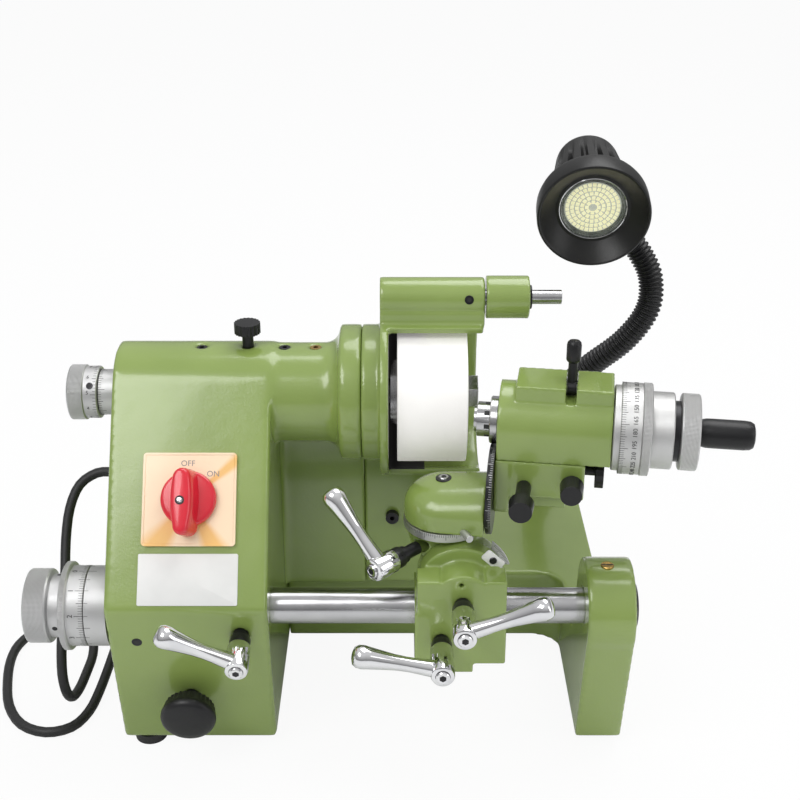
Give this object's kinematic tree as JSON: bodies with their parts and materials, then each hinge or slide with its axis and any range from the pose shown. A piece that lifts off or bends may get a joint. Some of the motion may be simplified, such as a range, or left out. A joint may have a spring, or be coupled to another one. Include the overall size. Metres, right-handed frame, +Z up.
{
  "type": "tool and cutter grinder",
  "caption": "Bench grinder for tools and cutters: cast bed and leaning column, guarded white wheel on a quill, tilting and swivelling workhead on a round bar, gooseneck lamp.",
  "frame": {"origin": "below the middle of the machine's footprint, on the table that its feet stand on", "axes": "+X along the wheel spindle from the column to the workhead side, +Y away from the operator, +Z up"},
  "size_m": [0.5528, 0.4608, 0.4018],
  "materials": {
    "green_paint": "glossy enamel over a lightly uneven casting",
    "black_paint": "satin black",
    "black_rubber": "matt",
    "black_plastic": "fine satin",
    "black_steel": "blackened",
    "steel": "ground",
    "bright_chrome": "polished",
    "satin_aluminium": "turned, with dark graduations",
    "label_aluminium": "bare plate, no print",
    "brass_screw": "turned",
    "cream_plastic": "smooth",
    "red_plastic": "smooth",
    "white_abrasive": "open grit",
    "lamp_glass": "clear"
  },
  "bodies": {
    "frame": {"bed_casting": "green_paint", "column_casting": "green_paint", "rear_cover": "green_paint", "rubber_feet": "black_rubber", "motor_body": "black_paint", "drive_belt": "black_rubber", "wheel_guard": "green_paint", "guard_screws": "black_steel", "quill_index_sleeve": "satin_aluminium", "feed_index_sleeve": "satin_aluminium", "oil_screws": "brass_screw", "bar_end_cap": "black_plastic", "switch_plate": "cream_plastic", "label_plate": "label_aluminium", "cable_gland": "black_rubber", "mains_lead": "black_rubber", "lead_coil": "black_rubber", "mains_plug": "black_plastic"},
    "rotor": {"motor_rotor": "steel"},
    "quill": {"quill_sleeve": "steel", "spindle_bearings": "steel"},
    "spindle": {"spindle_shaft": "steel", "wheel_flanges": "steel", "wheel_nut": "steel", "grinding_wheel": "white_abrasive"},
    "quill_knob": {"quill_dial": "satin_aluminium"},
    "quill_lock": {"quill_lock_screw": "black_plastic"},
    "dresser": {"dresser_shaft": "steel", "dresser_head": "green_paint", "dresser_diamond": "steel"},
    "feed_knob": {"feed_dial": "satin_aluminium"},
    "feed_slide": {"feed_nut": "steel"},
    "bar": {"slide_bar": "steel"},
    "bar_lock": {"bar_lock_lever": "bright_chrome"},
    "infeed": {"infeed_knob": "black_plastic"},
    "switch": {"switch_knob": "red_plastic"},
    "carriage": {"carriage": "green_paint"},
    "tilt_lock": {"tilt_lock_lever": "bright_chrome"},
    "carriage_lock": {"carriage_lock_lever": "bright_chrome"},
    "tilt": {"tilt_base": "green_paint", "tilt_scale": "satin_aluminium", "swivel_ring": "satin_aluminium"},
    "swivel_lock": {"swivel_lock_lever": "bright_chrome"},
    "swivel": {"swivel_dome": "green_paint", "stop_pin": "bright_chrome"},
    "relief": {"relief_disc": "satin_aluminium", "head_carrier": "green_paint"},
    "clamp": {"clamp_knob": "black_plastic"},
    "gib": {"gib_knob": "black_plastic"},
    "head_feed": {"head_feed_wheel": "black_plastic"},
    "workhead": {"workhead_body": "green_paint"},
    "index": {"index_spindle": "steel", "collet": "steel", "index_rings": "satin_aluminium"},
    "drawbar": {"drawbar_handle": "black_plastic"},
    "pawl": {"index_pawl": "black_plastic"},
    "lamp_neck": {"lamp_base": "black_plastic", "gooseneck": "black_plastic"},
    "lamp": {"lamp_head": "black_paint", "lamp_lens": "lamp_glass"}
  },
  "joints": [
    {"name": "quill_dial_turn", "type": "hinge", "parent": "frame", "child": "quill_knob", "pos_m": [-0.20842, -0.01074, 0.241], "axis": [1, 0, 0], "range_deg": [-360, 360]},
    {"name": "quill_slide", "type": "slide", "parent": "frame", "child": "quill", "axis": [1, 0, 0], "range_m": [-0.00125, 0.00125]},
    {"name": "spindle_spin", "type": "hinge", "parent": "quill", "child": "spindle", "pos_m": [0.01158, -0.01074, 0.241], "axis": [1, 0, 0], "continuous": true},
    {"name": "rotor_spin", "type": "hinge", "parent": "frame", "child": "rotor", "pos_m": [0.01158, 0.10426, 0.15], "axis": [1, 0, 0], "continuous": true},
    {"name": "quill_lock_turn", "type": "hinge", "parent": "frame", "child": "quill_lock", "pos_m": [-0.09642, -0.01074, 0.278], "axis": [0, 0, 1], "range_deg": [-90, 0]},
    {"name": "dresser_traverse", "type": "slide", "parent": "frame", "child": "dresser", "axis": [1, 0, 0], "range_m": [0, 0.048]},
    {"name": "feed_dial_turn", "type": "hinge", "parent": "frame", "child": "feed_knob", "pos_m": [-0.20842, -0.09974, 0.117], "axis": [1, 0, 0], "range_deg": [-720, 720]},
    {"name": "bar_feed", "type": "slide", "parent": "frame", "child": "feed_slide", "axis": [1, 0, 0], "range_m": [-0.0025, 0.0025]},
    {"name": "bar_swing", "type": "hinge", "parent": "feed_slide", "child": "bar", "pos_m": [0.01158, -0.09974, 0.117], "axis": [1, 0, 0], "range_deg": [0, 45]},
    {"name": "carriage_slide", "type": "slide", "parent": "bar", "child": "carriage", "axis": [1, 0, 0], "range_m": [0, 0.047]},
    {"name": "carriage_lock", "type": "hinge", "parent": "carriage", "child": "carriage_lock", "pos_m": [0.03958, -0.13574, 0.112], "axis": [0, -1, 0], "range_deg": [0, 40]},
    {"name": "tilt_lock", "type": "hinge", "parent": "carriage", "child": "tilt_lock", "pos_m": [0.05358, -0.13574, 0.141], "axis": [0, -1, 0], "range_deg": [0, 40]},
    {"name": "head_tilt", "type": "hinge", "parent": "carriage", "child": "tilt", "pos_m": [0.05358, -0.09574, 0.141], "axis": [0, 1, 0], "range_deg": [0, 20]},
    {"name": "swivel_lock", "type": "hinge", "parent": "tilt", "child": "swivel_lock", "pos_m": [0.0143, -0.11003, 0.165], "axis": [-0.7071, -0.7071, 0], "range_deg": [0, 40]},
    {"name": "head_swivel", "type": "hinge", "parent": "tilt", "child": "swivel", "pos_m": [0.04258, -0.08174, 0.18], "axis": [0, 0, -1], "range_deg": [0, 90]},
    {"name": "relief_tilt", "type": "hinge", "parent": "swivel", "child": "relief", "pos_m": [0.04258, -0.08174, 0.203], "axis": [0.989, -0.1478, 0], "range_deg": [0, 45]},
    {"name": "clamp_knob_turn", "type": "hinge", "parent": "relief", "child": "clamp", "pos_m": [0.09493, -0.09816, 0.211], "axis": [-0.1478, -0.989, 0], "range_deg": [0, 180]},
    {"name": "gib_knob_turn", "type": "hinge", "parent": "relief", "child": "gib", "pos_m": [0.12658, -0.10289, 0.217], "axis": [-0.1478, -0.989, 0], "range_deg": [0, 180]},
    {"name": "head_feed_turn", "type": "hinge", "parent": "relief", "child": "head_feed", "pos_m": [0.13863, -0.07638, 0.212], "axis": [0.989, -0.1478, 0], "range_deg": [0, 2880]},
    {"name": "head_slide", "type": "slide", "parent": "relief", "child": "workhead", "axis": [0.989, -0.1478, 0], "range_m": [0, 0.012]},
    {"name": "index_spin", "type": "hinge", "parent": "workhead", "child": "index", "pos_m": [0.07963, -0.06756, 0.246], "axis": [0.989, -0.1478, 0], "continuous": true},
    {"name": "drawbar_turn", "type": "hinge", "parent": "index", "child": "drawbar", "pos_m": [0.17853, -0.08234, 0.246], "axis": [0.989, -0.1478, 0], "continuous": true},
    {"name": "pawl_lift", "type": "hinge", "parent": "workhead", "child": "pawl", "pos_m": [0.12661, -0.07458, 0.27335], "axis": [0.989, -0.1478, 0], "range_deg": [0, 20]},
    {"name": "switch_turn", "type": "hinge", "parent": "frame", "child": "switch", "pos_m": [-0.13242, -0.08808, 0.19521], "axis": [0, -0.8185, 0.5745], "range_deg": [-60, 0]},
    {"name": "bar_lock_turn", "type": "hinge", "parent": "frame", "child": "bar_lock", "pos_m": [-0.09742, -0.12759, 0.11139], "axis": [0, -0.9821, -0.1886], "range_deg": [0, 40]},
    {"name": "infeed_turn", "type": "hinge", "parent": "frame", "child": "infeed", "pos_m": [-0.13642, -0.11609, 0.05149], "axis": [0, -0.9821, -0.1886], "range_deg": [-180, 180]},
    {"name": "lamp_swivel", "type": "hinge", "parent": "frame", "child": "lamp_neck", "pos_m": [0.13158, 0.15326, 0.07], "axis": [0, 0, 1], "range_deg": [-10, 45]},
    {"name": "lamp_turn", "type": "hinge", "parent": "lamp_neck", "child": "lamp", "pos_m": [0.17658, 0.11026, 0.338], "axis": [-0.515, 0, 0.8572], "range_deg": [-40, 40]}
  ],
  "couplings": [
    {"joint": "quill_slide", "follows": "quill_dial_turn", "m_per_rad": 0.00019894},
    {"joint": "rotor_spin", "follows": "spindle_spin", "ratio": 0.53846},
    {"joint": "feed_dial_turn", "follows": "bar_feed", "rad_per_m": 5026.5},
    {"joint": "head_feed_turn", "follows": "head_slide", "rad_per_m": 4188.8}
  ]
}
